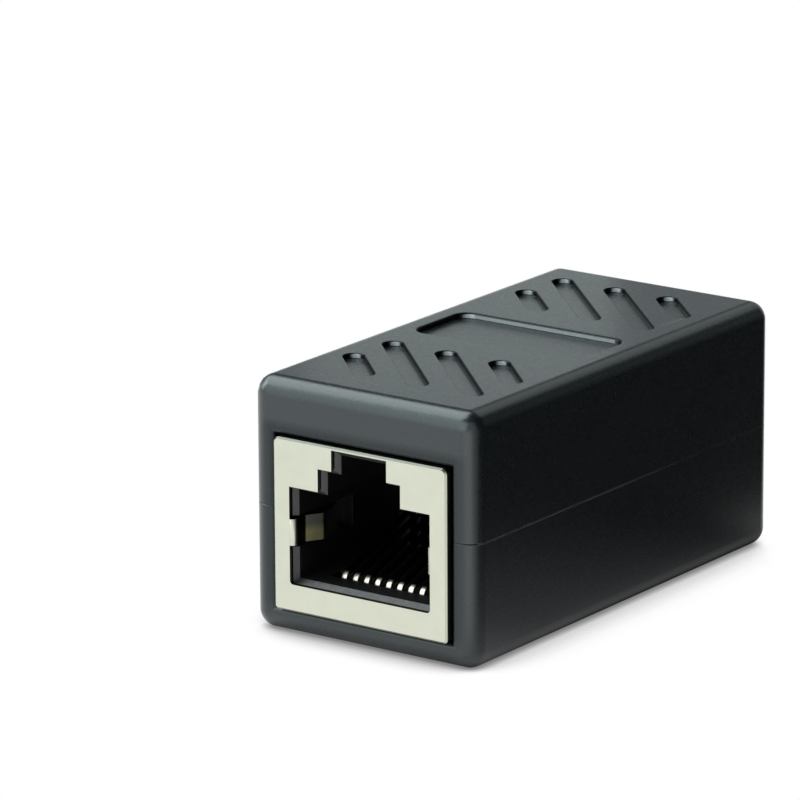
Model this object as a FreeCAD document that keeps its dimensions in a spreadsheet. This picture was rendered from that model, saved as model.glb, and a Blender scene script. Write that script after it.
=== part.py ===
import FreeCAD, Part
import math
import os
import Sketcher
from FreeCAD import Placement, Rotation, Vector

# Inline coupler: a moulded two-part housing that holds two shielded eight-way jacks back to back
# under one circuit board. X is the width, Y the length with the front jack facing -Y, Z is up, and
# the origin lies under the middle of the part, on the surface that it stands on.
# All sizes are in millimetres and degrees.

SIZES = {
    # Housing
    "body_width": 20.4,
    "body_length": 40.33,
    "body_height": 19.7,
    "edge_round": 1.45,
    "side_wall": 1.6,
    "end_wall": 1.6,
    "floor_wall": 1.5,
    "roof_wall": 1.5,
    "seam_height": 9.85,
    "seam_bevel": 0.08,
    "lip_rise": 1.0,
    "lip_thickness": 0.7,
    "lip_gap": 0.05,
    "port_side_gap": 0.2,
    "port_low_gap": 0.05,
    "port_high_gap": 0.08,
    "port_round": 0.4,
    "rib_root": 0.3,
    "rib_thickness": 1.2,
    "rib_gap": 0.05,
    "runner_offset": 5.0,
    "side_rib_setback": 3.0,
    "side_rib_spacing": 5.5,
    "post_offset": 5.5,
    "post_width": 3.0,
    "pin_width": 1.8,
    "pin_length": 9.0,
    "pin_gap": 0.05,
    # Grip marks and panel on the roof
    "mark_width": 1.65,
    "mark_depth": 0.7,
    "mark_pitch": 4.9,
    "long_mark_run": 8.0,
    "short_mark_run": 3.5,
    "mark_band_offset": 11.4,
    "pattern_shift": 0.24,
    "panel_width": 15.2,
    "panel_length": 6.9,
    "panel_depth": 0.45,
    "panel_round": 1.2,
    # Jack shield, measured from its own lowest edge and its own face plate
    "jack_lift": 2.0,
    "shield_proud": 0.35,
    "shield_width": 15.75,
    "shield_height": 13.4,
    "shield_depth": 18.6,
    "sheet_metal": 0.25,
    "shield_top_bend": 0.5,
    "shield_low_bend": 0.3,
    "plate_bevel": 0.14,
    "mouth_low_round": 0.3,
    "window_setback": 3.0,
    "window_margin": 0.4,
    "tail_setback": 11.6,
    "tail_width": 1.5,
    "tail_proud": 0.8,
    "latch_window_setback": 12.0,
    "latch_window_length": 1.8,
    "latch_window_lift": 9.4,
    "latch_window_rise": 2.2,
    # Grounding spring finger
    "finger_height": 2.05,
    "finger_lift": 6.15,
    "finger_reach": 0.28,
    "finger_bow_start": 1.55,
    "finger_bow_end": 2.95,
    "finger_bow_rise": 0.75,
    "finger_length": 5.6,
    "finger_tip_drop": 0.15,
    "finger_bend": 0.35,
    # Cavity for the plug
    "cavity_width": 12.08,
    "cavity_floor": 2.49,
    "cavity_height": 6.87,
    "cavity_depth": 13.3,
    "latch_width": 6.78,
    "latch_height": 1.78,
    "key_width": 4.28,
    "key_height": 1.5,
    "lead_in": 0.36,
    "insulator_setback": 0.43,
    "fit_gap": 0.06,
    "finger_room": 1.0,
    "finger_room_length": 7.5,
    "insulator_round": 0.3,
    "peg_offset": 5.715,
    "peg_setback": 8.8,
    "peg_diameter": 3.0,
    "peg_proud": 0.8,
    "peg_slit": 0.6,
    "barb_proud": 0.2,
    # Contact carrier
    "tongue_width": 9.2,
    "tongue_nose": 3.95,
    "tongue_under": 1.5,
    "tongue_top": 2.5,
    "channel_nose": 2.5,
    "groove_gap": 0.04,
    "groove_depth": 0.35,
    "relief_setback": 14.0,
    "relief_top": 2.6,
    "comb_tooth": 0.35,
    "comb_length": 1.5,
    "comb_top": 7.2,
    # Contact springs
    "contact_pitch": 1.016,
    "contact_width": 0.45,
    "contact_stock": 0.25,
    "contact_run_height": 1.675,
    "contact_bow": 0.525,
    "contact_bow_setback": 3.57,
    "contact_slope": 20.0,
    "contact_tip_setback": 12.9,
    "contact_rear_bend": 0.6,
    "near_row_setback": 15.15,
    "row_spacing": 2.54,
    "contact_tail_proud": 0.9,
    # Circuit board
    "board_width": 16.6,
    "board_length": 36.0,
    "board_thickness": 1.0,
    "board_round": 0.5,
    "contact_hole": 0.8,
    "peg_hole_gap": 0.1,
    "notch_width": 2.0,
    "notch_gap": 0.2,
}
CONTACTS = 8

document = FreeCAD.newDocument("inline_coupler")
sheet = document.addObject("Spreadsheet::Sheet", "sizes")
for row, (alias, number) in enumerate(SIZES.items(), start=1):
    sheet.set("A%d" % row, alias)
    sheet.set("B%d" % row, str(number))
    sheet.setAlias("B%d" % row, alias)
document.recompute()


class Amount:
    """A number together with the sheet formula that it comes from."""

    def __init__(self, value, formula):
        self.value = value
        self.formula = formula

    @staticmethod
    def of(other):
        return other if isinstance(other, Amount) else Amount(other, repr(other))

    def __add__(self, other):
        other = Amount.of(other)
        return Amount(self.value + other.value, "(%s + %s)" % (self.formula, other.formula))

    def __sub__(self, other):
        other = Amount.of(other)
        return Amount(self.value - other.value, "(%s - %s)" % (self.formula, other.formula))

    def __mul__(self, other):
        other = Amount.of(other)
        return Amount(self.value * other.value, "(%s * %s)" % (self.formula, other.formula))

    def __truediv__(self, other):
        other = Amount.of(other)
        return Amount(self.value / other.value, "(%s / %s)" % (self.formula, other.formula))

    def __neg__(self):
        return Amount(-self.value, "(0 - %s)" % self.formula)

    __radd__ = __add__
    __rmul__ = __mul__


class Sizes:
    """Gives each size of the sheet by its name."""

    def __getattr__(self, alias):
        return Amount(SIZES[alias], "sizes." + alias)


s = Sizes()
ZERO = Amount.of(0.0)


# Bodies, sketches and features

def new_body(label, turned=False):
    body = document.addObject("PartDesign::Body", label)
    body.Label = label
    if turned:
        body.Placement = Placement(Vector(), Rotation(Vector(0, 0, 1), 180))
    return body


def origin_plane(body, role):
    return next(item for item in body.Origin.OriginFeatures if item.Role == role)


def new_sketch(body, name, role, level=ZERO):
    """A sketch on one of the body's own origin planes, moved along its normal by level."""
    sketch = body.newObject("Sketcher::SketchObject", name)
    sketch.AttachmentSupport = [(origin_plane(body, role), "")]
    sketch.MapMode = "FlatFace"
    sketch.setExpression("AttachmentOffset.Base.z", level.formula)
    return sketch


def constrain(sketch, kind, references, amount):
    index = sketch.addConstraint(Sketcher.Constraint(kind, *references, amount.value))
    sketch.setExpression("Constraints[%d]" % index, amount.formula)


def place_point(sketch, geometry, end, across, along):
    constrain(sketch, "DistanceX", (-1, 1, geometry, end), across)
    constrain(sketch, "DistanceY", (-1, 1, geometry, end), along)


def draw_polygon(sketch, corners):
    """Straight edges from corner to corner and back to the first."""
    spots = [Vector(across.value, along.value, 0) for across, along in corners]
    count = len(corners)
    first = sketch.GeometryCount
    for k in range(count):
        sketch.addGeometry(Part.LineSegment(spots[k], spots[(k + 1) % count]), False)
    for k, (across, along) in enumerate(corners):
        sketch.addConstraint(Sketcher.Constraint("Coincident", first + k, 2, first + (k + 1) % count, 1))
        place_point(sketch, first + k, 1, across, along)


def draw_rectangle(sketch, left, right, bottom, top):
    draw_polygon(sketch, [(left, bottom), (right, bottom), (right, top), (left, top)])


def draw_square(sketch, across, along, width):
    half = width / 2
    draw_rectangle(sketch, across - half, across + half, along - half, along + half)


def draw_octagon(sketch, across, along, width):
    """Eight sides about a middle point, width from flat to flat."""
    near = width * (math.tan(math.pi / 8) / 2)
    far = width / 2
    turns = [(far, -near), (far, near), (near, far), (-near, far),
             (-far, near), (-far, -near), (-near, -far), (near, -far)]
    draw_polygon(sketch, [(across + step, along + rise) for step, rise in turns])


def draw_circle(sketch, across, along, diameter):
    centre = Vector(across.value, along.value, 0)
    index = sketch.addGeometry(Part.Circle(centre, Vector(0, 0, 1), diameter.value / 2), False)
    place_point(sketch, index, 3, across, along)
    constrain(sketch, "Diameter", (index,), diameter)


def draw_slanted_slot(sketch, across, along, run, width):
    """A round-ended slot at 45 degrees, falling from left to right, about its middle point."""
    radius = width / 2
    tail = (across + run / 2, along - run / 2)
    head = (across - run / 2, along + run / 2)
    tail_spot = Vector(tail[0].value, tail[1].value, 0)
    head_spot = Vector(head[0].value, head[1].value, 0)
    side = Vector(1, 1, 0).normalize() * radius.value
    up = Vector(0, 0, 1)
    quarter = math.pi / 4
    tail_circle = Part.Circle(tail_spot, up, radius.value)
    head_circle = Part.Circle(head_spot, up, radius.value)
    tail_arc = sketch.addGeometry(Part.ArcOfCircle(tail_circle, -3 * quarter, quarter), False)
    upper = sketch.addGeometry(Part.LineSegment(tail_spot + side, head_spot + side), False)
    head_arc = sketch.addGeometry(Part.ArcOfCircle(head_circle, quarter, 5 * quarter), False)
    lower = sketch.addGeometry(Part.LineSegment(head_spot - side, tail_spot - side), False)
    loop = [tail_arc, upper, head_arc, lower]
    for k, piece in enumerate(loop):
        sketch.addConstraint(Sketcher.Constraint("Tangent", piece, 2, loop[(k + 1) % 4], 1))
    sketch.addConstraint(Sketcher.Constraint("Equal", tail_arc, head_arc))
    constrain(sketch, "Radius", (tail_arc,), radius)
    place_point(sketch, tail_arc, 3, *tail)
    place_point(sketch, head_arc, 3, *head)


def draw_bent_path(sketch, corners, bend):
    """An open path of straight runs, with one bend radius at every corner between them."""
    spots = [Vector(across.value, along.value, 0) for across, along in corners]
    starts = [spots[0]]
    ends = []
    arcs = []
    for before, corner, after in zip(spots, spots[1:], spots[2:]):
        inward = (before - corner).normalize()
        outward = (after - corner).normalize()
        half_turn = (math.pi - inward.getAngle(outward)) / 2
        reach = bend.value * math.tan(half_turn)
        centre = corner + (inward + outward).normalize() * (bend.value / math.cos(half_turn))
        first, last = corner + inward * reach, corner + outward * reach
        ends.append(first)
        starts.append(last)
        leftward = inward.cross(outward).z < 0
        opening = (first if leftward else last) - centre
        angle = math.atan2(opening.y, opening.x)
        circle = Part.Circle(centre, Vector(0, 0, 1), bend.value)
        arcs.append((Part.ArcOfCircle(circle, angle, angle + 2 * half_turn), leftward))
    ends.append(spots[-1])
    runs = [sketch.addGeometry(Part.LineSegment(a, b), False) for a, b in zip(starts, ends)]
    for k, (arc, leftward) in enumerate(arcs):
        before, after = runs[k], runs[k + 1]
        curve = sketch.addGeometry(arc, False)
        entry, leaving = (1, 2) if leftward else (2, 1)
        sketch.addConstraint(Sketcher.Constraint("Tangent", before, 2, curve, entry))
        sketch.addConstraint(Sketcher.Constraint("Tangent", curve, leaving, after, 1))
        constrain(sketch, "Radius", (curve,), bend)
        mark = sketch.addGeometry(Part.Point(spots[k + 1]), True)
        place_point(sketch, mark, 1, *corners[k + 1])
        sketch.addConstraint(Sketcher.Constraint("PointOnObject", mark, 1, before))
        sketch.addConstraint(Sketcher.Constraint("PointOnObject", mark, 1, after))
    place_point(sketch, runs[0], 1, *corners[0])
    place_point(sketch, runs[-1], 2, *corners[-1])


def solid_volume(feature):
    document.recompute()
    if not feature.isValid() or feature.Shape.isNull():
        raise RuntimeError("%s did not build" % feature.Name)
    return feature.Shape.Volume


def pad(body, sketch, length, backwards=False, centred=False):
    """Add the sketched outline along the sketch's normal, or against it."""
    feature = body.newObject("PartDesign::Pad", sketch.Name + "_pad")
    feature.Profile = sketch
    feature.setExpression("Length", length.formula)
    feature.Reversed = backwards
    feature.Midplane = centred
    solid_volume(feature)
    return feature


def pocket(body, sketch, length, forwards=False):
    """Cut the sketched outline against the sketch's normal, or along it."""
    before = solid_volume(body)
    feature = body.newObject("PartDesign::Pocket", sketch.Name + "_pocket")
    feature.Profile = sketch
    feature.setExpression("Length", length.formula)
    feature.Reversed = forwards
    if solid_volume(feature) >= before:
        raise RuntimeError("%s cuts nothing" % feature.Name)
    return feature


def repeat(body, original, name, role, spacing, count, backwards=False):
    """Repeat a feature along one of the body's own axes."""
    feature = body.newObject("PartDesign::LinearPattern", name)
    feature.Originals = [original]
    feature.Direction = (origin_plane(body, role), [""])
    feature.Reversed = backwards
    feature.Occurrences = count
    feature.setExpression("Length", (spacing * (count - 1)).formula)
    body.Tip = feature
    solid_volume(feature)
    return feature


def mirror(body, originals, name, role):
    """Copy features to the other side of one of the body's own planes."""
    feature = body.newObject("PartDesign::Mirrored", name)
    feature.Originals = originals
    feature.MirrorPlane = (origin_plane(body, role), [""])
    body.Tip = feature
    solid_volume(feature)
    return feature


def edges_where(feature, test):
    """The names of the edges whose middle point and direction pass the test."""
    names = []
    for number, edge in enumerate(feature.Shape.Edges, start=1):
        middle = edge.valueAt((edge.FirstParameter + edge.LastParameter) / 2)
        along = (edge.valueAt(edge.LastParameter) - edge.valueAt(edge.FirstParameter))
        if test(edge, middle, along):
            names.append("Edge%d" % number)
    if not names:
        raise RuntimeError("%s has no such edge" % feature.Name)
    return names


def soften(body, kind, name, size, test):
    """Round or bevel the edges that pass the test; kind is Fillet or Chamfer."""
    document.recompute()
    base = body.Tip
    names = edges_where(base, test)
    feature = body.newObject("PartDesign::" + kind, name)
    feature.Base = (base, names)
    feature.setExpression("Radius" if kind == "Fillet" else "Size", size.formula)
    solid_volume(feature)
    return feature


def close(a, b):
    return abs(a - b) < 1e-4


def runs_along(along, axis):
    """True for an edge that is parallel to the axis, 0 for X, 1 for Y or 2 for Z."""
    return close(abs(along[axis]), along.Length) and along.Length > 1e-4


# Levels and distances that several pieces share

half_width = s.body_width / 2
half_length = s.body_length / 2
inner_half_width = half_width - s.side_wall
inner_half_length = half_length - s.end_wall
ceiling = s.body_height - s.roof_wall
port_half_width = s.shield_width / 2 + s.port_side_gap
port_bottom = s.jack_lift - s.port_low_gap
port_top = s.jack_lift + s.shield_height + s.port_high_gap
board_bottom = s.jack_lift + s.shield_height
board_top = board_bottom + s.board_thickness
face_distance = half_length + s.shield_proud
cavity_top = s.jack_lift + s.cavity_floor + s.cavity_height + s.latch_height + s.key_height
finger_middle = s.jack_lift + s.finger_lift
finger_half_mouth = s.cavity_width / 2 + s.lead_in
rear_distance = face_distance - s.shield_depth
window_front = face_distance - s.window_setback
peg_distance = face_distance - s.peg_setback
tail_distance = face_distance - s.tail_setback
near_row_distance = face_distance - s.near_row_setback
far_row_distance = near_row_distance - s.row_spacing
carrier_setback = s.cavity_depth + s.fit_gap
slot_width = s.contact_width + s.groove_gap * 2


def from_face(setback):
    """The Y position that lies this far behind the face plate of the front jack."""
    return setback - face_distance


def contact_x(number):
    """The X position of a contact, numbered from 1 at the left of the front jack."""
    return s.contact_pitch * (number - (CONTACTS + 1) / 2)


def draw_mouth(sketch, margin, top):
    """The stepped outline of the plug's way in, larger than the cavity by margin up to the top."""
    floor = s.jack_lift + s.cavity_floor - margin
    first_step = s.jack_lift + s.cavity_floor + s.cavity_height + margin
    second_step = first_step + s.latch_height
    wide = s.cavity_width / 2 + margin
    middle = s.latch_width / 2 + margin
    narrow = s.key_width / 2 + margin
    right = [(wide, floor), (wide, first_step), (middle, first_step), (middle, second_step),
             (narrow, second_step), (narrow, top)]
    left = [(-across, level) for across, level in reversed(right)]
    draw_polygon(sketch, right + left)


# Housing halves: moulded shells that meet at mid height

def outer_block(body, bottom, top, rounded_level):
    """A block with rounded corners, and with one more rounded rim at the rounded level."""
    outline = new_sketch(body, "outline", "XY_Plane", bottom)
    draw_rectangle(outline, -half_width, half_width, -half_length, half_length)
    pad(body, outline, top - bottom)
    soften(body, "Fillet", "outer_rounds", s.edge_round,
           lambda edge, middle, along: runs_along(along, 2) or close(middle.z, rounded_level.value))


def hollow(body, name, level, depth, margin, upwards):
    """Cut a rectangular hollow that leaves the walls, less the margin, all round."""
    outline = new_sketch(body, name, "XY_Plane", level)
    across = inner_half_width + margin
    along = inner_half_length + margin
    draw_rectangle(outline, -across, across, -along, along)
    pocket(body, outline, depth, forwards=upwards)


def port_cut(body, bottom, top):
    """Cut the openings that the two jacks stand in, through both end walls."""
    outline = new_sketch(body, "port", "XZ_Plane", half_length)
    draw_rectangle(outline, -port_half_width, port_half_width, bottom, top)
    pocket(body, outline, s.body_length)


def round_port(body):
    soften(body, "Fillet", "port_edge", s.port_round,
           lambda edge, middle, along: close(abs(middle.y), half_length.value)
           and abs(middle.x) < port_half_width.value + 1e-3
           and port_bottom.value - 1e-3 < middle.z < port_top.value + 1e-3
           and not (close(middle.z, s.seam_height.value) and runs_along(along, 0)))


def side_ribs(body, level, height):
    """Ribs on the side walls that centre the jacks between them."""
    shield_side = s.shield_width / 2 + s.rib_gap
    outline = new_sketch(body, "side_ribs", "XY_Plane", level)
    for step in range(3):
        along = half_length - s.end_wall - s.side_rib_setback - s.side_rib_spacing * step
        for low, high in ((along - s.rib_thickness, along), (-along, s.rib_thickness - along)):
            draw_rectangle(outline, shield_side, inner_half_width + s.rib_root, low, high)
            draw_rectangle(outline, -inner_half_width - s.rib_root, -shield_side, low, high)
    pad(body, outline, height)


def draw_grip_marks(sketch, along):
    """Four slanted slots, clipped to a rectangle: short, long, long, short."""
    rise = (s.long_mark_run - s.short_mark_run) / 2
    draw_slanted_slot(sketch, -s.mark_pitch / 2, along, s.long_mark_run, s.mark_width)
    draw_slanted_slot(sketch, s.mark_pitch / 2, along, s.long_mark_run, s.mark_width)
    draw_slanted_slot(sketch, rise - s.mark_pitch * 1.5, along - rise, s.short_mark_run, s.mark_width)
    draw_slanted_slot(sketch, s.mark_pitch * 1.5 - rise, along + rise, s.short_mark_run, s.mark_width)


def make_upper_housing():
    body = new_body("upper_housing")
    outer_block(body, s.seam_height, s.body_height, s.body_height)
    hollow(body, "inside", s.seam_height, ceiling - s.seam_height, ZERO, upwards=True)
    hollow(body, "lip_seat", s.seam_height, s.lip_rise, s.lip_thickness, upwards=True)
    port_cut(body, s.seam_height, port_top)
    marks = new_sketch(body, "grip_marks", "XY_Plane", s.body_height)
    draw_grip_marks(marks, s.pattern_shift - s.mark_band_offset)
    draw_grip_marks(marks, s.pattern_shift + s.mark_band_offset)
    pocket(body, marks, s.mark_depth)
    panel = new_sketch(body, "panel", "XY_Plane", s.body_height)
    draw_rectangle(panel, -s.panel_width / 2, s.panel_width / 2,
                   s.pattern_shift - s.panel_length / 2, s.pattern_shift + s.panel_length / 2)
    pocket(body, panel, s.panel_depth)
    middle_of_panel = s.body_height.value - s.panel_depth.value / 2
    soften(body, "Fillet", "panel_corners", s.panel_round,
           lambda edge, middle, along: runs_along(along, 2) and close(middle.z, middle_of_panel)
           and abs(middle.y) < s.panel_length.value / 2 + s.pattern_shift.value + 1e-3)
    round_port(body)
    posts = new_sketch(body, "posts", "XY_Plane", board_top)
    draw_square(posts, -s.post_offset, ZERO, s.post_width)
    draw_square(posts, s.post_offset, ZERO, s.post_width)
    pad(body, posts, ceiling - board_top + s.rib_root)
    pins = new_sketch(body, "pins", "XY_Plane", board_top)
    draw_octagon(pins, -s.post_offset, ZERO, s.pin_width)
    draw_octagon(pins, s.post_offset, ZERO, s.pin_width)
    pad(body, pins, s.pin_length, backwards=True)
    above_lip = s.seam_height + s.lip_rise
    side_ribs(body, above_lip, board_bottom - s.rib_gap - above_lip)
    return body


def make_lower_housing():
    body = new_body("lower_housing")
    outer_block(body, ZERO, s.seam_height, ZERO)
    soften(body, "Chamfer", "seam_edge", s.seam_bevel,
           lambda edge, middle, along: close(middle.z, s.seam_height.value))
    hollow(body, "inside", s.seam_height, s.seam_height - s.floor_wall, ZERO, upwards=False)
    lip = new_sketch(body, "lip", "XY_Plane", s.seam_height)
    for margin in (s.lip_thickness - s.lip_gap, ZERO):
        across = inner_half_width + margin
        along = inner_half_length + margin
        draw_rectangle(lip, -across, across, -along, along)
    pad(body, lip, s.lip_rise - s.lip_gap)
    port_cut(body, port_bottom, port_top)
    round_port(body)
    floor_root = s.floor_wall - s.rib_root
    runners = new_sketch(body, "runners", "XY_Plane", floor_root)
    for side in (-1, 1):
        middle = s.runner_offset * side
        for low, high in ((-inner_half_length, -rear_distance), (rear_distance, inner_half_length)):
            draw_rectangle(runners, middle - s.rib_thickness / 2, middle + s.rib_thickness / 2, low, high)
    pad(body, runners, s.jack_lift - floor_root)
    side_ribs(body, floor_root, s.seam_height - floor_root)
    bosses = new_sketch(body, "bosses", "XY_Plane", floor_root)
    draw_square(bosses, -s.post_offset, ZERO, s.post_width)
    draw_square(bosses, s.post_offset, ZERO, s.post_width)
    pad(body, bosses, board_bottom - floor_root)
    bores = new_sketch(body, "bores", "XY_Plane", board_bottom)
    draw_octagon(bores, -s.post_offset, ZERO, s.pin_width + s.pin_gap * 2)
    draw_octagon(bores, s.post_offset, ZERO, s.pin_width + s.pin_gap * 2)
    pocket(body, bores, s.pin_length)
    return body


# Jack shield: plated sheet metal, stamped and folded round the jack

def make_shield(name, turned):
    body = new_body(name, turned)
    half = s.shield_width / 2
    inner_half = half - s.sheet_metal
    bottom = s.jack_lift
    top = s.jack_lift + s.shield_height
    outline = new_sketch(body, "outline", "XZ_Plane", face_distance)
    draw_rectangle(outline, -half, half, bottom, top)
    pad(body, outline, s.shield_depth, backwards=True)
    half_way = s.jack_lift.value + s.shield_height.value / 2
    soften(body, "Fillet", "top_bends", s.shield_top_bend,
           lambda edge, middle, along: runs_along(along, 1) and middle.z > half_way)
    soften(body, "Fillet", "low_bends", s.shield_low_bend,
           lambda edge, middle, along: runs_along(along, 1) and middle.z < half_way
           and close(abs(middle.x), half.value))
    soften(body, "Chamfer", "plate_edge", s.plate_bevel,
           lambda edge, middle, along: close(middle.y, -face_distance.value))
    inside = new_sketch(body, "inside", "XZ_Plane", rear_distance)
    draw_rectangle(inside, -inner_half, inner_half, bottom + s.sheet_metal, top - s.sheet_metal)
    pocket(body, inside, s.shield_depth - s.sheet_metal, forwards=True)
    soften(body, "Fillet", "inner_bends", s.shield_top_bend - s.sheet_metal,
           lambda edge, middle, along: runs_along(along, 1) and close(abs(middle.x), inner_half.value)
           and close(middle.z, top.value - s.sheet_metal.value))
    flap = new_sketch(body, "rear_flap", "XZ_Plane", rear_distance + s.sheet_metal)
    draw_rectangle(flap, -inner_half, inner_half, bottom + s.sheet_metal / 2, top - s.window_margin * 2)
    pad(body, flap, s.sheet_metal, backwards=True)
    window = new_sketch(body, "board_window", "XY_Plane", top)
    window_half = half - s.window_margin
    draw_rectangle(window, -window_half, window_half, -window_front, s.sheet_metal - rear_distance)
    pocket(body, window, s.sheet_metal * 2)
    mouth = new_sketch(body, "mouth", "XZ_Plane", face_distance)
    draw_mouth(mouth, s.lead_in, top - s.sheet_metal)
    pocket(body, mouth, s.sheet_metal * 2)
    mouth_floor = bottom.value + s.cavity_floor.value - s.lead_in.value
    soften(body, "Fillet", "low_mouth_corners", s.mouth_low_round,
           lambda edge, middle, along: runs_along(along, 1) and close(middle.z, mouth_floor)
           and close(middle.y, from_face(s.sheet_metal / 2).value))
    finger_path = new_sketch(body, "finger_path", "XY_Plane", finger_middle)
    plate_middle = from_face(s.sheet_metal / 2)
    root = finger_half_mouth - s.finger_reach
    bow = root - s.finger_bow_rise
    draw_bent_path(finger_path, [
        (-finger_half_mouth - s.sheet_metal, plate_middle),
        (-root, plate_middle),
        (-root - s.finger_tip_drop / 2, from_face(s.finger_bow_start)),
        (-bow, from_face(s.finger_bow_end)),
        (-root - s.finger_tip_drop, from_face(s.finger_length)),
    ], s.finger_bend)
    strip = new_sketch(body, "finger_strip", "YZ_Plane", -finger_half_mouth - s.sheet_metal)
    draw_rectangle(strip, from_face(ZERO), from_face(s.sheet_metal),
                   finger_middle - s.finger_height / 2, finger_middle + s.finger_height / 2)
    finger = body.newObject("PartDesign::AdditivePipe", "finger")
    finger.Profile = strip
    finger.Spine = finger_path
    solid_volume(finger)
    mirror(body, [finger], "other_finger", "YZ_Plane")
    tails = new_sketch(body, "ground_tails", "YZ_Plane", inner_half)
    draw_rectangle(tails, -tail_distance - s.tail_width / 2, s.tail_width / 2 - tail_distance,
                   top - s.shield_top_bend * 2, board_top + s.tail_proud)
    tail = pad(body, tails, s.sheet_metal)
    mirror(body, [tail], "other_ground_tail", "YZ_Plane")
    latches = new_sketch(body, "latch_windows", "YZ_Plane", half)
    draw_rectangle(latches, from_face(s.latch_window_setback),
                   from_face(s.latch_window_setback + s.latch_window_length),
                   bottom + s.latch_window_lift, bottom + s.latch_window_lift + s.latch_window_rise)
    pocket(body, latches, s.shield_width)
    return body


# Jack insulator: the moulded body with the stepped cavity

def make_insulator(name, turned):
    body = new_body(name, turned)
    gap = s.sheet_metal + s.fit_gap
    half = s.shield_width / 2 - gap
    bottom = s.jack_lift + gap
    top = s.jack_lift + s.shield_height - gap
    front = face_distance - s.insulator_setback
    back = rear_distance + gap
    outline = new_sketch(body, "outline", "XZ_Plane", front)
    draw_rectangle(outline, -half, half, bottom, top)
    pad(body, outline, front - back, backwards=True)
    soften(body, "Fillet", "outer_rounds", s.insulator_round,
           lambda edge, middle, along: runs_along(along, 1))
    cavity = new_sketch(body, "cavity", "XZ_Plane", front)
    draw_mouth(cavity, ZERO, cavity_top)
    pocket(body, cavity, s.cavity_depth - s.insulator_setback)
    soften(body, "Chamfer", "lead_in", s.lead_in,
           lambda edge, middle, along: close(middle.y, -front.value)
           and abs(middle.x) < s.cavity_width.value / 2 + 1e-3
           and s.jack_lift.value + s.cavity_floor.value - 1e-3 < middle.z < top.value - 0.1)
    seat = new_sketch(body, "carrier_seat", "XZ_Plane", back)
    seat_half = s.cavity_width / 2 + s.fit_gap
    seat_bottom = s.jack_lift + s.tongue_under - s.fit_gap
    draw_rectangle(seat, -seat_half, seat_half, seat_bottom, top + gap)
    pocket(body, seat, face_distance - s.cavity_depth - back, forwards=True)
    channel = new_sketch(body, "tongue_channel", "XZ_Plane", back)
    channel_half = s.tongue_width / 2 + s.fit_gap
    draw_rectangle(channel, -channel_half, channel_half, seat_bottom, s.jack_lift + s.cavity_floor + s.lead_in)
    pocket(body, channel, face_distance - s.channel_nose - back, forwards=True)
    room = new_sketch(body, "finger_room", "XZ_Plane", front)
    room_half = s.cavity_width / 2 + s.finger_room
    room_margin = s.finger_height / 2 + s.fit_gap * 3
    draw_rectangle(room, -room_half, room_half, finger_middle - room_margin, finger_middle + room_margin)
    pocket(body, room, s.finger_room_length - s.insulator_setback)
    pegs = new_sketch(body, "pegs", "XY_Plane", top - s.fit_gap)
    draw_circle(pegs, -s.peg_offset, -peg_distance, s.peg_diameter)
    draw_circle(pegs, s.peg_offset, -peg_distance, s.peg_diameter)
    pad(body, pegs, board_top + s.peg_proud - top + s.fit_gap)
    slits = new_sketch(body, "peg_slits", "XY_Plane", board_top + s.peg_proud)
    for side in (-1, 1):
        middle = s.peg_offset * side
        draw_rectangle(slits, middle - s.peg_slit / 2, middle + s.peg_slit / 2,
                       -peg_distance - s.peg_diameter, s.peg_diameter - peg_distance)
    pocket(body, slits, s.peg_proud + s.board_thickness)
    barb_front = from_face(s.latch_window_setback + s.fit_gap)
    barb_back = from_face(s.latch_window_setback + s.latch_window_length - s.fit_gap)
    barb = new_sketch(body, "barb", "XY_Plane", s.jack_lift + s.latch_window_lift + s.fit_gap)
    draw_polygon(barb, [(half - s.barb_proud, barb_front), (half, barb_front),
                        (half + s.barb_proud, barb_back), (half - s.barb_proud, barb_back)])
    barb_pad = pad(body, barb, s.latch_window_rise - s.fit_gap * 2)
    mirror(body, [barb_pad], "other_barb", "YZ_Plane")
    return body


# Contact carrier: the block that slides in from behind, with a comb that keeps the springs apart

def cut_grooves(body, under, first, last):
    """Grooves for the springs along the underside, between two setbacks from the face plate."""
    groove = new_sketch(body, "groove", "XY_Plane", under)
    left = contact_x(1) - slot_width / 2
    draw_rectangle(groove, left, left + slot_width, from_face(first), from_face(last))
    first_groove = pocket(body, groove, s.groove_depth, forwards=True)
    repeat(body, first_groove, "grooves", "X_Axis", s.contact_pitch, CONTACTS)


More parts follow.
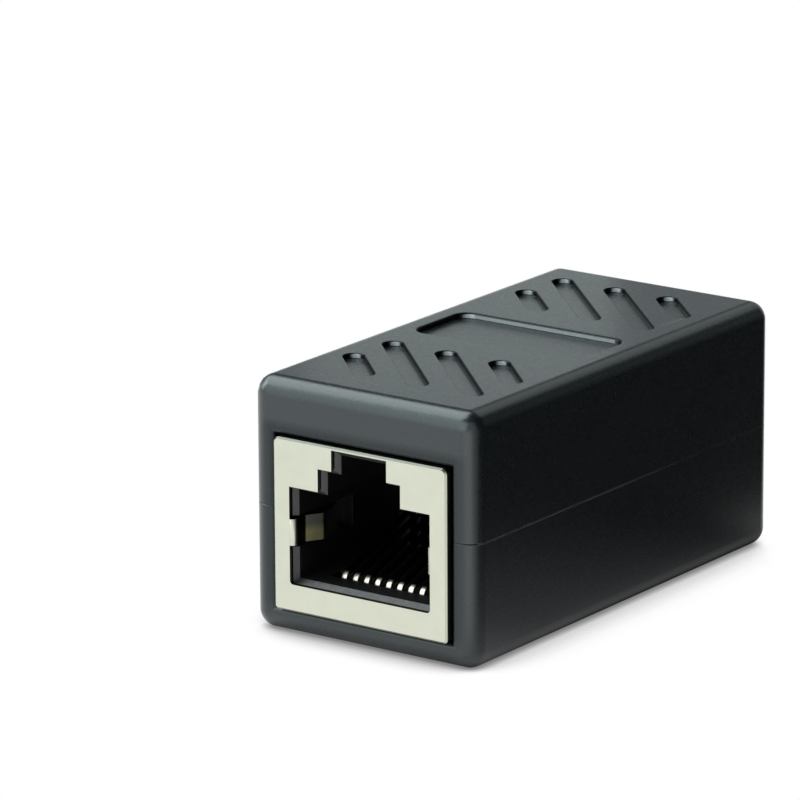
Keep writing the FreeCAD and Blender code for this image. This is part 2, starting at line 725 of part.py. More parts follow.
def make_carrier(name, turned):
    body = new_body(name, turned)
    half = s.cavity_width / 2
    under = s.jack_lift + s.tongue_under
    top = s.jack_lift + s.shield_height - s.sheet_metal - s.fit_gap
    block_back = s.shield_depth - s.sheet_metal - s.fit_gap * 2
    slot_length = s.contact_stock + s.groove_gap * 2
    block = new_sketch(body, "block", "YZ_Plane")
    draw_rectangle(block, from_face(carrier_setback), from_face(block_back), under, top)
    pad(body, block, half * 2, centred=True)
    relief = new_sketch(body, "bend_relief", "XZ_Plane", face_distance - block_back)
    draw_rectangle(relief, -half, half, under, s.jack_lift + s.relief_top)
    pocket(body, relief, block_back - s.relief_setback, forwards=True)
    cut_grooves(body, under, carrier_setback, s.relief_setback)
    for number, row, distance in ((1, "near", near_row_distance), (2, "far", far_row_distance)):
        slot = new_sketch(body, row + "_slot", "XY_Plane", top)
        left = contact_x(number) - slot_width / 2
        draw_rectangle(slot, left, left + slot_width,
                       -distance - slot_length / 2, slot_length / 2 - distance)
        first_slot = pocket(body, slot, top - s.jack_lift - s.relief_top)
        repeat(body, first_slot, row + "_slots", "X_Axis", s.contact_pitch * 2, CONTACTS // 2)
    tooth_foot = s.tongue_top + s.fit_gap
    tooth = new_sketch(body, "comb_tooth", "XY_Plane", s.jack_lift + tooth_foot)
    left = -s.contact_pitch * (CONTACTS / 2) - s.comb_tooth / 2
    draw_rectangle(tooth, left, left + s.comb_tooth, from_face(carrier_setback - s.comb_length),
                   from_face(carrier_setback + s.fit_gap))
    first_tooth = pad(body, tooth, s.comb_top - tooth_foot)
    repeat(body, first_tooth, "comb", "X_Axis", s.contact_pitch, CONTACTS + 1)
    return body


# Contact tongue: the thin plate in front of the carrier, which the springs run under and fold over

def make_tongue(name, turned):
    body = new_body(name, turned)
    under = s.jack_lift + s.tongue_under
    plate = new_sketch(body, "plate", "YZ_Plane")
    draw_rectangle(plate, from_face(s.tongue_nose), from_face(carrier_setback),
                   under, s.jack_lift + s.tongue_top)
    pad(body, plate, s.tongue_width, centred=True)
    cut_grooves(body, under, s.tongue_nose, carrier_setback)
    return body


# Contact springs: one flat strip each, from the board down behind the carrier, forward under the
# tongue, round its nose and back up into the cavity

def make_contact(name, number, turned):
    body = new_body(name, turned)
    side = -1 if turned else 1
    body.setExpression("Placement.Base.x", (contact_x(number) * side).formula)
    row_distance = near_row_distance if number % 2 else far_row_distance
    tail_end = board_top + s.contact_tail_proud
    run = s.jack_lift + s.contact_run_height
    slope = math.radians(s.contact_slope.value)
    bow_y = from_face(s.contact_bow_setback)
    tip_y = from_face(s.contact_tip_setback)
    bow_spot = Vector(bow_y.value, run.value + s.contact_bow.value, 0)
    bend_top = Vector(-row_distance.value, run.value + s.contact_rear_bend.value, 0)
    bend_foot = Vector(-row_distance.value - s.contact_rear_bend.value, run.value, 0)
    bow_circle = Part.Circle(bow_spot, Vector(0, 0, 1), s.contact_bow.value)
    leaves = bow_spot + Vector(-math.sin(slope), math.cos(slope), 0) * s.contact_bow.value
    tip = leaves + Vector(1, math.tan(slope), 0) * (tip_y.value - leaves.x)
    path = new_sketch(body, "path", "YZ_Plane")
    drop = path.addGeometry(Part.LineSegment(Vector(-row_distance.value, tail_end.value, 0),
                                             bend_top), False)
    bend = path.addGeometry(Part.LineSegment(bend_top, bend_foot), False)
    under = path.addGeometry(Part.LineSegment(bend_foot, Vector(bow_spot.x, run.value, 0)), False)
    bow = path.addGeometry(Part.ArcOfCircle(bow_circle, math.pi / 2 + slope, 3 * math.pi / 2), False)
    spring = path.addGeometry(Part.LineSegment(leaves, tip), False)
    joins = (("Coincident", drop, 2, bend, 1), ("Coincident", bend, 2, under, 1),
             ("Tangent", under, 2, bow, 2), ("Tangent", bow, 1, spring, 1))
    for join in joins:
        path.addConstraint(Sketcher.Constraint(*join))
    path.addConstraint(Sketcher.Constraint("Horizontal", under))
    constrain(path, "Radius", (bow,), s.contact_bow)
    place_point(path, drop, 1, -row_distance, tail_end)
    place_point(path, drop, 2, -row_distance, run + s.contact_rear_bend)
    constrain(path, "DistanceX", (-1, 1, bend, 2), -row_distance - s.contact_rear_bend)
    place_point(path, bow, 3, bow_y, run + s.contact_bow)
    constrain(path, "DistanceX", (-1, 1, spring, 2), tip_y)
    angle = path.addConstraint(Sketcher.Constraint("Angle", spring, slope))
    path.setExpression("Constraints[%d]" % angle, "sizes.contact_slope * 1 deg")
    strip = new_sketch(body, "strip", "XY_Plane", tail_end)
    draw_rectangle(strip, -s.contact_width / 2, s.contact_width / 2,
                   -row_distance - s.contact_stock / 2, s.contact_stock / 2 - row_distance)
    spring_body = body.newObject("PartDesign::AdditivePipe", "spring")
    spring_body.Profile = strip
    spring_body.Spine = path
    spring_body.Transition = "Right corner"
    solid_volume(spring_body)
    return body


# Circuit board: joins the two jacks above them

def make_board():
    body = new_body("circuit_board")
    half = s.board_width / 2
    outline = new_sketch(body, "outline", "XY_Plane", board_bottom)
    draw_rectangle(outline, -half, half, -s.board_length / 2, s.board_length / 2)
    pad(body, outline, s.board_thickness)
    soften(body, "Fillet", "corners", s.board_round, lambda edge, middle, along: runs_along(along, 2))
    holes = new_sketch(body, "holes", "XY_Plane", board_top)
    for side in (-1, 1):
        draw_octagon(holes, s.post_offset * side, ZERO, s.pin_width + s.pin_gap * 2)
        for end in (-1, 1):
            draw_circle(holes, s.peg_offset * side, peg_distance * end, s.peg_diameter + s.peg_hole_gap * 2)
    for number in range(1, CONTACTS + 1):
        row_distance = near_row_distance if number % 2 else far_row_distance
        for end in (-1, 1):
            draw_octagon(holes, contact_x(number) * -end, row_distance * end, s.contact_hole)
    pocket(body, holes, s.board_thickness)
    notches = new_sketch(body, "notches", "XY_Plane", board_top)
    inner = s.shield_width / 2 - s.sheet_metal - s.notch_gap
    for end in (-1, 1):
        middle = tail_distance * end
        low, high = middle - s.notch_width / 2, middle + s.notch_width / 2
        draw_rectangle(notches, inner, half + s.notch_gap, low, high)
        draw_rectangle(notches, -half - s.notch_gap, -inner, low, high)
    pocket(body, notches, s.board_thickness)
    return body


bodies = [make_upper_housing(), make_lower_housing(), make_board()]
for end, turned in (("front", False), ("rear", True)):
    bodies.append(make_shield(end + "_shield", turned))
    bodies.append(make_insulator(end + "_insulator", turned))
    bodies.append(make_carrier(end + "_contact_carrier", turned))
    bodies.append(make_tongue(end + "_contact_tongue", turned))
    for number in range(1, CONTACTS + 1):
        bodies.append(make_contact("%s_contact_%d" % (end, number), number, turned))

document.recompute()
for item in document.Objects:
    if "Invalid" in item.State or "Error" in item.State:
        raise RuntimeError("%s is not valid: %s" % (item.Name, item.State))
os.makedirs("parts", exist_ok=True)
for body in bodies:
    if body.Shape.isNull() or not body.Shape.isValid():
        raise RuntimeError("%s has no valid shape" % body.Label)
    body.Shape.exportStep("parts/%s.step" % body.Label)
    print("%-24s %9.3f mm3, %d solids" % (body.Label, body.Shape.Volume, len(body.Shape.Solids)))
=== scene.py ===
import math

import bmesh
import bpy
import numpy as np
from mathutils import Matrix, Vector


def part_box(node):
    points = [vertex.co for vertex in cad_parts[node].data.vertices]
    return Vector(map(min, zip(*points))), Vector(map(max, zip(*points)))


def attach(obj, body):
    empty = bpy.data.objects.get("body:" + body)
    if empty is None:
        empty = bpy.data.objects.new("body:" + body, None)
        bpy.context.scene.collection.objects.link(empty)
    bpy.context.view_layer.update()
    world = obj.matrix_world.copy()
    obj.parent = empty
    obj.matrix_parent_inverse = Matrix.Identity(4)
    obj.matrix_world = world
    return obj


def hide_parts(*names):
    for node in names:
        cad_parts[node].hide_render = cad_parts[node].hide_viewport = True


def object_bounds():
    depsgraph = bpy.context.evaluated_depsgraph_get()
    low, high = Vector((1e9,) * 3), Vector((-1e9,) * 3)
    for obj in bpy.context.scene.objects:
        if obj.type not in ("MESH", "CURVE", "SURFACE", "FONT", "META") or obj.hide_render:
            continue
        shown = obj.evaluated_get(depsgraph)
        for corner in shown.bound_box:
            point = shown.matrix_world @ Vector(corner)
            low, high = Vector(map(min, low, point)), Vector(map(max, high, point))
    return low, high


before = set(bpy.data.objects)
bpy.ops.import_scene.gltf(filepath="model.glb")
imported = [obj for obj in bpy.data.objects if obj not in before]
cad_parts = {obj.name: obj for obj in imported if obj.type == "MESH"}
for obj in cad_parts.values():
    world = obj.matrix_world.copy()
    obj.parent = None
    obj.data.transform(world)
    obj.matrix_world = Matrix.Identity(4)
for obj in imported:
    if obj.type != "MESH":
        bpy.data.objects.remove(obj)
cad_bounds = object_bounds()


# Housing halves. Two injection-moulded ABS shells that meet at mid height, black right through.
# The tool's fine spark texture leaves them satin, and every edge of the moulding is a little round.

def linear(code):
    """An sRGB hex colour as the linear colour that shaders take."""
    channels = [int(code[k:k + 2], 16) / 255 for k in (1, 3, 5)]
    return [c / 12.92 if c <= 0.04045 else ((c + 0.055) / 1.055) ** 2.4 for c in channels] + [1.0]


def add(tree, kind, sockets=(), **settings):
    """Add a node with its settings; each socket gets a plain value or a link from another node."""
    node = tree.nodes.new(kind)
    for name, value in settings.items():
        setattr(node, name, value)
    for name, value in dict(sockets).items():
        if isinstance(value, bpy.types.NodeSocket):
            tree.links.new(value, node.inputs[name])
        else:
            node.inputs[name].default_value = value
    return node


def graded(tree, *ramps):
    """The product of several ramps, which grades one part of a surface into another.

    Each ramp is a value, where it starts and where it ends, and its levels there if not 0 and 1."""
    product = 1.0
    for value, start, end, *levels in ramps:
        low, high = levels or (0.0, 1.0)
        ramp = add(tree, "ShaderNodeMapRange", {"Value": value, "From Min": start, "From Max": end,
                                                "To Min": low, "To Max": high})
        product = add(tree, "ShaderNodeMath", {0: product, 1: ramp.outputs["Result"]},
                      operation="MULTIPLY").outputs["Value"]
    return product


def new_finish(name):
    """An empty material with its surface shader and its Object coordinates."""
    finish = bpy.data.materials.new(name)
    finish.use_nodes = True
    tree = finish.node_tree
    tree.nodes.clear()
    surface = add(tree, "ShaderNodeBsdfPrincipled")
    output = add(tree, "ShaderNodeOutputMaterial")
    tree.links.new(surface.outputs["BSDF"], output.inputs["Surface"])
    place = add(tree, "ShaderNodeTexCoord").outputs["Object"]
    return finish, tree, surface, place


def soft_edged(node, width, finish, width_at=None, segments=2):
    """A merged copy of a CAD node that takes its place, with a small round along each sharp edge.

    Where width_at is given, it says the width of the round from the middle of the edge."""
    same_point, same_plane, sharp = 1e-7, math.radians(0.3), math.radians(30)
    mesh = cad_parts[node].data.copy()
    shell = bmesh.new()
    shell.from_mesh(mesh)
    bmesh.ops.remove_doubles(shell, verts=shell.verts, dist=same_point)
    bmesh.ops.dissolve_limit(shell, angle_limit=same_plane, verts=shell.verts, edges=shell.edges)
    for face in shell.faces:
        face.smooth = True
    weights = shell.edges.layers.float.new("bevel_weight_edge")
    for edge in shell.edges:
        if edge.is_manifold and edge.calc_face_angle() > sharp:
            middle = (edge.verts[0].co + edge.verts[1].co) / 2
            edge[weights] = width_at(middle) / width if width_at else 1.0
    shell.to_mesh(mesh)
    shell.free()
    mesh.materials.clear()
    mesh.materials.append(finish)
    piece = bpy.data.objects.new(node + "_piece", mesh)
    bpy.context.collection.objects.link(piece)
    bevel = piece.modifiers.new("edge_rounds", "BEVEL")
    bevel.width = width
    bevel.segments = segments
    bevel.limit_method = "WEIGHT"
    bevel.use_clamp_overlap = width_at is None
    flats = piece.modifiers.new("flat_faces", "WEIGHTED_NORMAL")
    flats.mode = "FACE_AREA"
    flats.weight = 100
    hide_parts(node)
    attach(piece, "root")
    return piece


plain_round = 0.00006
panel_round = 0.0002
slot_round = 0.0001
seam_round = 0.00002
seam = 0.00985
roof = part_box("upper_housing")[1][2]
panel_middle, panel_half_length, panel_half_width = 0.00024, 0.0036, 0.0077
moulded_slot_depth, shown_slot_depth = 0.0007, 0.0004
slot_way = (0.40, -0.92, 0.0)
texture_pit = 0.00022
flow_mark = 0.006

# Where painted light and shade change: each pair is the place, or the slant, where a grade starts and ends.
recess_sides, recess_ends = (0.0086, 0.0084), (0.0180, 0.0178)
recess_floor = (roof - 0.0009, roof - 0.00088)
not_level, facing_front, facing_aside = (0.97, 0.85), (0.86, 0.97), (0.85, 0.7)
below_seam, above_seam = (seam - 0.00013, seam - 0.0001), (seam + 0.00004, seam + 0.00001)
side_wall, rear_to_front = (0.0099, 0.0100), (0.0090, -0.0010)
port_sides, port_end = (0.0096, 0.0084), (0.0192, 0.0196)
port_foot, port_head = (0.0008, 0.0026), (0.0167, 0.0160)


def moulded_abs():
    """Black ABS from a spark-textured tool: satin outside, painted black and dull as shade on the roof
    recess walls.

    The ends of the slots that face the front carry painted highlights as small near-white spots. Painted
    shade dulls the moulding close round the ports, and a painted highlight runs as a pale line along the
    seam, fading to the rear. The real pits of the texture are finer, and are drawn coarse enough to show."""
    finish, tree, surface, place = new_finish("moulded_black_abs")
    along = add(tree, "ShaderNodeSeparateXYZ", {"Vector": place}).outputs["Y"]
    reach = add(tree, "ShaderNodeVectorMath", {0: place}, operation="ABSOLUTE").outputs["Vector"]
    aside, lengthwise, height = add(tree, "ShaderNodeSeparateXYZ", {"Vector": reach}).outputs
    facing = add(tree, "ShaderNodeTexCoord").outputs["Normal"]
    upward = add(tree, "ShaderNodeSeparateXYZ", {"Vector": facing}).outputs["Z"]
    forward = add(tree, "ShaderNodeVectorMath", {0: facing, 1: slot_way},
                  operation="DOT_PRODUCT").outputs["Value"]
    recess = ((aside, *recess_sides), (lengthwise, *recess_ends), (height, *recess_floor),
              (upward, *not_level))
    # Painted highlight: the slot ends that face the front are painted near white, as small bright spots.
    slot_end_highlight = graded(tree, *recess, (forward, *facing_front))
    # Painted shade: the other walls of the recesses are painted near black, and dulled below.
    recess_wall_shade = graded(tree, *recess, (forward, *facing_aside))
    # Painted highlight: a pale line along the seam on each side, fading to the rear.
    seam_highlight = graded(tree, (height, *below_seam), (height, *above_seam), (aside, *side_wall),
                    (along, *rear_to_front))
    # Painted shade: a duller band round each port, where the proud face plate would shade the moulding.
    port_shade = graded(tree, (aside, *port_sides), (height, *port_foot), (height, *port_head),
                        (lengthwise, *port_end))
    flow = add(tree, "ShaderNodeTexNoise", {"Vector": place, "Scale": 1 / flow_mark, "Detail": 2.0})
    colour = add(tree, "ShaderNodeMix", {"Factor": flow.outputs["Fac"], 6: linear("#15191c"),
                                         7: linear("#1a1f22")}, data_type="RGBA").outputs[2]
    for part, code in ((slot_end_highlight, "#d4dcdf"), (seam_highlight, "#565c60"), (recess_wall_shade, "#0b0c0d")):
        colour = add(tree, "ShaderNodeMix", {"Factor": part, 6: colour, 7: linear(code)},
                     data_type="RGBA").outputs[2]
    # The sheen is dulled by painted shade round the ports and on the recess walls.
    sheen_and_shade = 0.6
    for part, shaded_level in ((port_shade, 0.33), (recess_wall_shade, 0.05)):
        sheen_and_shade = add(tree, "ShaderNodeMix", {"Factor": part, 2: sheen_and_shade, 3: shaded_level},
                    data_type="FLOAT").outputs[0]
    grain = add(tree, "ShaderNodeTexNoise", {"Vector": place, "Scale": 1 / texture_pit, "Detail": 3.0,
                                             "Roughness": 0.6})
    gloss = add(tree, "ShaderNodeMapRange", {"Value": grain.outputs["Fac"], "From Min": 0.3,
                                             "From Max": 0.7, "To Min": 0.26, "To Max": 0.34})
    bump = add(tree, "ShaderNodeBump", {"Height": grain.outputs["Fac"], "Strength": 0.25,
                                        "Distance": 0.00002})
    tree.links.new(colour, surface.inputs["Base Color"])
    tree.links.new(gloss.outputs["Result"], surface.inputs["Roughness"])
    tree.links.new(sheen_and_shade, surface.inputs["Specular IOR Level"])
    tree.links.new(bump.outputs["Normal"], surface.inputs["Normal"])
    surface.inputs["Specular Tint"].default_value = (0.90, 0.98, 1.0, 1.0)
    surface.inputs["IOR"].default_value = 1.54
    return finish


def housing_round(middle):
    """A wide round on the rim of the panel, narrow ones on the slots and elsewhere, least at the seam."""
    same_height = 0.00001
    if abs(middle.z - seam) < same_height:
        return seam_round
    if abs(middle.z - roof) > same_height:
        return plain_round
    in_panel = abs(middle.y - panel_middle) < panel_half_length and abs(middle.x) < panel_half_width
    return panel_round if in_panel else slot_round


housing_abs = moulded_abs()
upper = soft_edged("upper_housing", panel_round, housing_abs, housing_round, segments=3)
# The slots look shallower than the CAD has them, so the points of their floors are lifted.
places = np.empty(3 * len(upper.data.vertices), dtype=np.float32)
upper.data.vertices.foreach_get("co", places)
heights = places[2::3]
heights[np.abs(heights - (roof - moulded_slot_depth)) < 2e-6] = roof - shown_slot_depth
upper.data.vertices.foreach_set("co", places)
soft_edged("lower_housing", plain_round, housing_abs)


# Jack shields. Tin-plated steel sheet, blanked, folded round the jack and sprung inwards at each side
# of the mouth. The face plate is a warm white metal with a soft gloss; behind it, the tin has painted
# shade.

sheet_round = 0.00005
plate_face = cad_bounds[1][1]
plate_back = (plate_face - 0.0009, plate_face - 0.0005)
finger_middle = (0.0085, 0.0079)
bent_up = (0.15, 0.5)
tin_mottle = 0.0012


def tin_plate():
    """Matte tin on rolled steel: a pale, warm metal with a faint mottle, and painted shade where it bends
    upwards.

    Painted shade greys it behind the face plate, with painted light, yellowish, on the fingers' lower half."""
    finish, tree, surface, place = new_finish("matte_tin_plate")
    spot = add(tree, "ShaderNodeSeparateXYZ", {"Vector": place})
    from_middle = add(tree, "ShaderNodeMath", {0: spot.outputs["Y"]},
                      operation="ABSOLUTE").outputs["Value"]
    # Painted shade: behind the face plate, the tin is painted grey.
    outside = graded(tree, (from_middle, *plate_back))
    # Painted light: low down behind the plate, on the lower half of the spring fingers, it is painted paler
    # and yellowish.
    lower = graded(tree, (spot.outputs["Z"], *finger_middle))
    upward = add(tree, "ShaderNodeSeparateXYZ",
                 {"Vector": add(tree, "ShaderNodeTexCoord").outputs["Normal"]}).outputs["Z"]
    # Painted shade: faces that turn upwards at the bends are painted darker.
    upturned_shade = graded(tree, (upward, *bent_up))
    mottle = add(tree, "ShaderNodeTexNoise", {"Vector": place, "Scale": 1 / tin_mottle, "Detail": 3.0})
    plate = add(tree, "ShaderNodeMix", {"Factor": mottle.outputs["Fac"], 6: linear("#b9bbac"),
                                        7: linear("#c1c3b4")}, data_type="RGBA").outputs[2]
    finger_shade_and_light = add(tree, "ShaderNodeMix", {"Factor": lower, 6: linear("#595a55"), 7: linear("#85825f")},
                 data_type="RGBA").outputs[2]
    sheet = add(tree, "ShaderNodeMix", {"Factor": outside, 6: finger_shade_and_light, 7: plate},
                data_type="RGBA").outputs[2]
    colour = add(tree, "ShaderNodeMix", {"Factor": upturned_shade, 6: sheet, 7: linear("#63645e")},
                 data_type="RGBA").outputs[2]
    gloss = add(tree, "ShaderNodeMapRange", {"Value": mottle.outputs["Fac"], "From Min": 0.3,
                                             "From Max": 0.7, "To Min": 0.3, "To Max": 0.38})
    tree.links.new(colour, surface.inputs["Base Color"])
    tree.links.new(gloss.outputs["Result"], surface.inputs["Roughness"])
    surface.inputs["Metallic"].default_value = 1.0
    return finish


shield_tin = tin_plate()
for end in ("front", "rear"):
    soft_edged(end + "_shield", sheet_round, shield_tin)


# Jack insulators and contact carriers. Black glass-filled PBT, moulded dull and a little rough,
# with crisp edges. The carrier slides into the insulator from behind with the springs in it.

insulator_round = 0.00003
carrier_round = 0.00002
fibre_length = 0.0003


def filled_pbt():
    """Black PBT with glass fibre: darker and duller than the housing, with a fine uneven gloss."""
    finish, tree, surface, place = new_finish("glass_filled_black_pbt")
    fibre = add(tree, "ShaderNodeTexNoise", {"Vector": place, "Scale": 1 / fibre_length, "Detail": 4.0})
    gloss = add(tree, "ShaderNodeMapRange", {"Value": fibre.outputs["Fac"], "From Min": 0.3,
                                             "From Max": 0.7, "To Min": 0.36, "To Max": 0.48})
    tree.links.new(gloss.outputs["Result"], surface.inputs["Roughness"])
    surface.inputs["Base Color"].default_value = linear("#141416")
    surface.inputs["IOR"].default_value = 1.57
    return finish


jack_pbt = filled_pbt()
for end in ("front", "rear"):
    soft_edged(end + "_insulator", insulator_round, jack_pbt)
    soft_edged(end + "_contact_carrier", carrier_round, jack_pbt)
    soft_edged(end + "_contact_tongue", carrier_round, jack_pbt)


# Contact springs. Phosphor bronze strip, formed and gold plated, eight in each jack.
# They come down from the board, run forward under the tongue and rise again into the cavity.

spring_round = 0.00003
pitch = 0.001016
bow = -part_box("front_contact_1")[0][1]
bow_front = (bow - 0.00052, bow - 0.00024)
spring_middle = (0.23 * pitch, 0.38 * pitch)
bronze_mottle = 0.0004


def gold_plate():
    """Hard gold along the middle of each front bow, and dull bare bronze on the rest of each spring.

    The gold is painted near white as a highlight, and the bronze near black as shade. The springs stand at
    odd halves of the pitch, so the ping-pong of X is highest along their middles."""
    finish, tree, surface, place = new_finish("gold_plated_bronze")
    spot = add(tree, "ShaderNodeSeparateXYZ", {"Vector": place})
    from_middle = add(tree, "ShaderNodeMath", {0: spot.outputs["Y"]},
                      operation="ABSOLUTE").outputs["Value"]
    centred = add(tree, "ShaderNodeMath", {0: spot.outputs["X"], 1: pitch / 2},
                  operation="PINGPONG").outputs["Value"]
    # Painted highlight on the middle of each front bow, and painted shade on the rest of each spring.
    gold_and_highlight = graded(tree, (from_middle, *bow_front), (centred, *spring_middle))
    tint = add(tree, "ShaderNodeMix", {"Factor": gold_and_highlight, 6: linear("#1d160d"), 7: linear("#fff8e6")},
               data_type="RGBA")
    mottle = add(tree, "ShaderNodeTexNoise", {"Vector": place, "Scale": 1 / bronze_mottle, "Detail": 2.0})
    gloss = add(tree, "ShaderNodeMapRange", {"Value": mottle.outputs["Fac"], "From Min": 0.3,
                                             "From Max": 0.7, "To Min": 0.38, "To Max": 0.5})
    tree.links.new(gloss.outputs["Result"], surface.inputs["Roughness"])
    tree.links.new(tint.outputs[2], surface.inputs["Base Color"])
    surface.inputs["Metallic"].default_value = 1.0
    return finish


contact_gold = gold_plate()
for end in ("front", "rear"):
    for number in range(1, 9):
        soft_edged("%s_contact_%d" % (end, number), spring_round, contact_gold)


# Circuit board. Glass-epoxy laminate under green solder mask; it lies over both jacks and is hidden.
# Its mask is glossy and shows the glass cloth under it faintly.

board_round = 0.00003
weave_size = 0.0008


def solder_mask():
    """Green mask over woven glass: glossy, with faint lighter and darker patches from the cloth."""
    finish, tree, surface, place = new_finish("green_solder_mask")
    weave = add(tree, "ShaderNodeTexNoise", {"Vector": place, "Scale": 1 / weave_size, "Detail": 1.0})
    tint = add(tree, "ShaderNodeMix", {"Factor": weave.outputs["Fac"], 6: linear("#0f5a2c"),
                                       7: linear("#176b38")}, data_type="RGBA")
    tree.links.new(tint.outputs[2], surface.inputs["Base Color"])
    surface.inputs["Roughness"].default_value = 0.25
    return finish


soft_edged("circuit_board", board_round, solder_mask())


# Table. A pale matte sheet that runs on behind the part, so that only its soft contact shadow shows.
# To the camera it is white; to the gloss of the part it is bright in front and dim at the right.

half_table = 3.0
shadow_reach = 0.008
# The patches of light: where each grade starts and ends, and its levels there if not 0 and 1.
front_left, right = (-0.018, 0.006, 1.07, 0.0), (0.008, 0.040, 0.28, 0.03)
rear_left, behind_part = (0.000, 0.018, 1.8, 0.0), (0.020, 0.026)
right_outer, right_inner, past_front = (0.0115, 0.0140, 0.22, 0.0), (0.0096, 0.0104), (-0.014, -0.006)
front_right, before_part = (0.006, 0.014, 0.0, 0.45), (-0.023, -0.030)


def pale_table():
    """White paper to the camera, shaded close to the part, and patches of light to the part's gloss.

    The patches at the front left, right and rear left fade in the contact shadow. The one close along the
    right side, for its lower edge, and the one before the front right corner don't."""
    finish = bpy.data.materials.new("pale_sweep")
    finish.use_nodes = True
    tree = finish.node_tree
    tree.nodes.clear()
    paper = add(tree, "ShaderNodeBsdfDiffuse", {"Color": linear("#e9e9e9")})
    open_air = add(tree, "ShaderNodeAmbientOcclusion", {"Distance": shadow_reach}, samples=16).outputs["AO"]
    openness = add(tree, "ShaderNodeMapRange", {"Value": open_air, "From Min": 0.1,
                                                "From Max": 0.68}).outputs["Result"]
    openness = add(tree, "ShaderNodeMath", {0: openness, 1: 1.6}, operation="POWER").outputs["Value"]
    shade = add(tree, "ShaderNodeMapRange", {"Value": openness, "To Min": 0.22}).outputs["Result"]
    dimmed = add(tree, "ShaderNodeMath", {0: shade, 1: 1.6}, operation="POWER").outputs["Value"]
    place = add(tree, "ShaderNodeTexCoord").outputs["Object"]
    rightward, backward, _ = add(tree, "ShaderNodeSeparateXYZ", {"Vector": place}).outputs
    slant = add(tree, "ShaderNodeMath", {0: rightward, 1: backward}, operation="ADD").outputs["Value"]
    level = 0.0
    for patch in ([(slant, *front_left)], [(slant, *right)],
                  [(rightward, *rear_left), (backward, *behind_part)]):
        level = add(tree, "ShaderNodeMath", {0: level, 1: graded(tree, *patch)},
                    operation="ADD").outputs["Value"]
    level = add(tree, "ShaderNodeMath", {0: level, 1: dimmed}, operation="MULTIPLY").outputs["Value"]
    for patch in ([(rightward, *right_outer), (rightward, *right_inner), (backward, *past_front)],
                  [(rightward, *front_right), (backward, *before_part)]):
        level = add(tree, "ShaderNodeMath", {0: level, 1: graded(tree, *patch)},
                    operation="ADD").outputs["Value"]
    ray = add(tree, "ShaderNodeLightPath")
    mirrored = add(tree, "ShaderNodeEmission", {"Color": linear("#ffffff"), "Strength": level})
    glow = add(tree, "ShaderNodeEmission", {"Color": linear("#ffffff"), "Strength": shade})
    shown = add(tree, "ShaderNodeMixShader", {"Fac": ray.outputs["Is Camera Ray"], 1: paper.outputs["BSDF"],
                                              2: glow.outputs["Emission"]})
    final = add(tree, "ShaderNodeMixShader", {"Fac": ray.outputs["Is Glossy Ray"],
                                              1: shown.outputs["Shader"], 2: mirrored.outputs["Emission"]})
    output = add(tree, "ShaderNodeOutputMaterial")
    tree.links.new(final.outputs["Shader"], output.inputs["Surface"])
    return finish


table_mesh = bpy.data.meshes.new("table")
table_mesh.from_pydata([(-half_table, -half_table, 0), (half_table, -half_table, 0),
                        (half_table, half_table, 0), (-half_table, half_table, 0)], [], [(0, 1, 2, 3)])
table_mesh.materials.append(pale_table())
table = bpy.data.objects.new("table", table_mesh)
bpy.context.collection.objects.link(table)


# Studio light. Wide soft boxes hang over the part at the left, at the front left, in front and behind,
# and a small card lights the left of the roof. In the gloss, the room is dim low down behind, darker
# above that and at the right, and bright in front up to a steep height. The camera sees it white.

lamp_tint = (0.92, 1.0, 0.99)
room_tint, white = (0.90, 1.0, 1.0, 1.0), (1.0, 1.0, 1.0, 1.0)
low_down, leftward = (0.30, 0.40, 0.56, 0.05), (0.2, 0.6, 1.0, 0.1)
in_front, below_steep = (-0.15, -0.45, 0.0, 0.9), (0.82, 0.70)
matte_room = 0.06


def soft_box(name, place, aim, size, watts):
    """A square area lamp, slightly cool, that the camera doesn't see."""
    lamp = bpy.data.lights.new(name, "AREA")
    lamp.size = size
    lamp.energy = watts
    lamp.color = lamp_tint
    box = bpy.data.objects.new(name, lamp)
    box.location = place
    box.rotation_euler = (Vector(aim) - Vector(place)).to_track_quat("-Z", "Y").to_euler()
    box.visible_camera = False
    bpy.context.collection.objects.link(box)


mid_height = (0, 0, 0.01)
soft_box("overhead_box", place=(-0.27, -0.03, 0.42), aim=(0, 0, 0), size=0.45, watts=2.6)
soft_box("front_left_box", place=(-0.5, -0.2, 0.25), aim=mid_height, size=0.3, watts=1.2)
soft_box("front_box", place=(-0.1, -0.5, 0.22), aim=mid_height, size=0.5, watts=1.4)
soft_box("rear_box", place=(-0.015, 0.395, 0.305), aim=mid_height, size=0.28, watts=0.17)
soft_box("small_card", place=(-0.028, 0.032, 0.030), aim=(-0.007, 0.003, 0.0197), size=0.026, watts=0.0007)

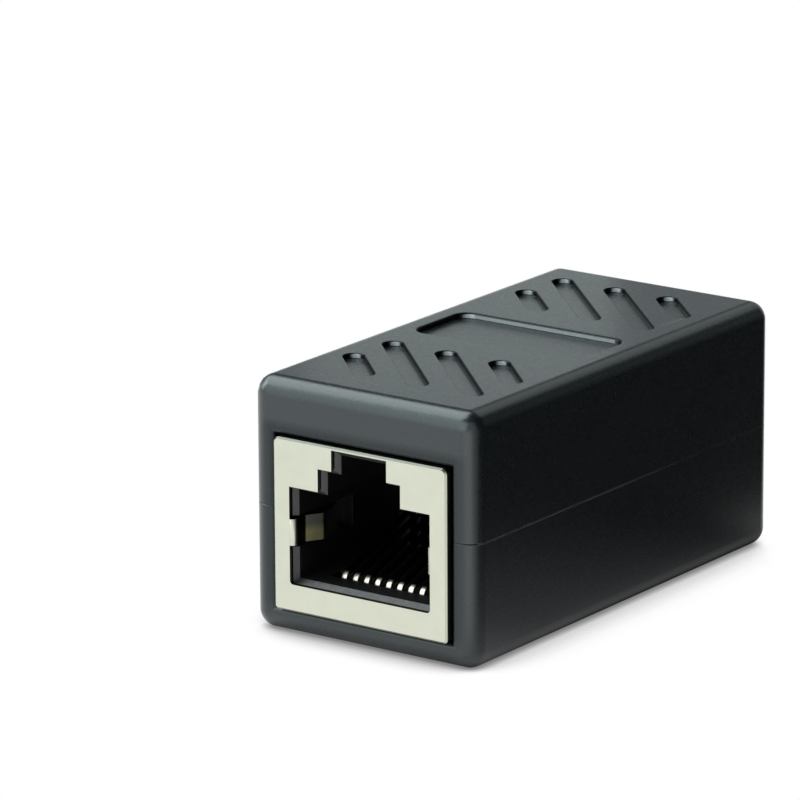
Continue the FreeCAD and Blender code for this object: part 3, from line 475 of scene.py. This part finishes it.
world = bpy.data.worlds.new("studio")
bpy.context.scene.world = world
world.use_nodes = True
sky = world.node_tree
sky.nodes.clear()
way = add(sky, "ShaderNodeTexCoord").outputs["Generated"]
rightward, backward, skyward = add(sky, "ShaderNodeSeparateXYZ", {"Vector": way}).outputs
behind = graded(sky, (skyward, *low_down), (rightward, *leftward))
front = graded(sky, (backward, *in_front), (skyward, *below_steep))
room = add(sky, "ShaderNodeMath", {0: behind, 1: front}, operation="MAXIMUM").outputs["Value"]
ray = add(sky, "ShaderNodeLightPath")
ambient = add(sky, "ShaderNodeMix", {"Factor": ray.outputs["Is Glossy Ray"], 2: matte_room, 3: room},
              data_type="FLOAT")
level = add(sky, "ShaderNodeMix", {"Factor": ray.outputs["Is Camera Ray"], 2: ambient.outputs[0], 3: 1.0},
            data_type="FLOAT")
hue = add(sky, "ShaderNodeMix", {"Factor": ray.outputs["Is Camera Ray"], 6: room_tint, 7: white},
          data_type="RGBA")
background = add(sky, "ShaderNodeBackground", {"Color": hue.outputs[2], "Strength": level.outputs[0]})
sky.links.new(background.outputs["Background"], add(sky, "ShaderNodeOutputWorld").inputs["Surface"])


# Camera. A long lens from the front right and a little above, framed as the photograph is.
# Its focal length and its shift are given in pixels of that frame, which is 800 wide.

frame_width = 800
focal_length = 6125.8
shift_across, shift_up = -115.8, 61.3
sensor_width = 36.0
bearing, height = math.radians(34.64), math.radians(16.29)
aim_point = Vector((0, -0.000165, 0.00984))
distance = 0.4677
camera = bpy.data.cameras.new("camera")
camera.sensor_width = sensor_width
camera.lens = focal_length * sensor_width / frame_width
camera.shift_x = shift_across / frame_width
camera.shift_y = shift_up / frame_width
camera.clip_start = 0.01
viewpoint = bpy.data.objects.new("camera", camera)
back = Vector((math.sin(bearing) * math.cos(height), -math.cos(bearing) * math.cos(height),
               math.sin(height)))
viewpoint.location = aim_point + back * distance
viewpoint.rotation_euler = (-back).to_track_quat("-Z", "Y").to_euler()
bpy.context.collection.objects.link(viewpoint)
bpy.context.scene.camera = viewpoint
bpy.context.scene.view_settings.view_transform = "Standard"
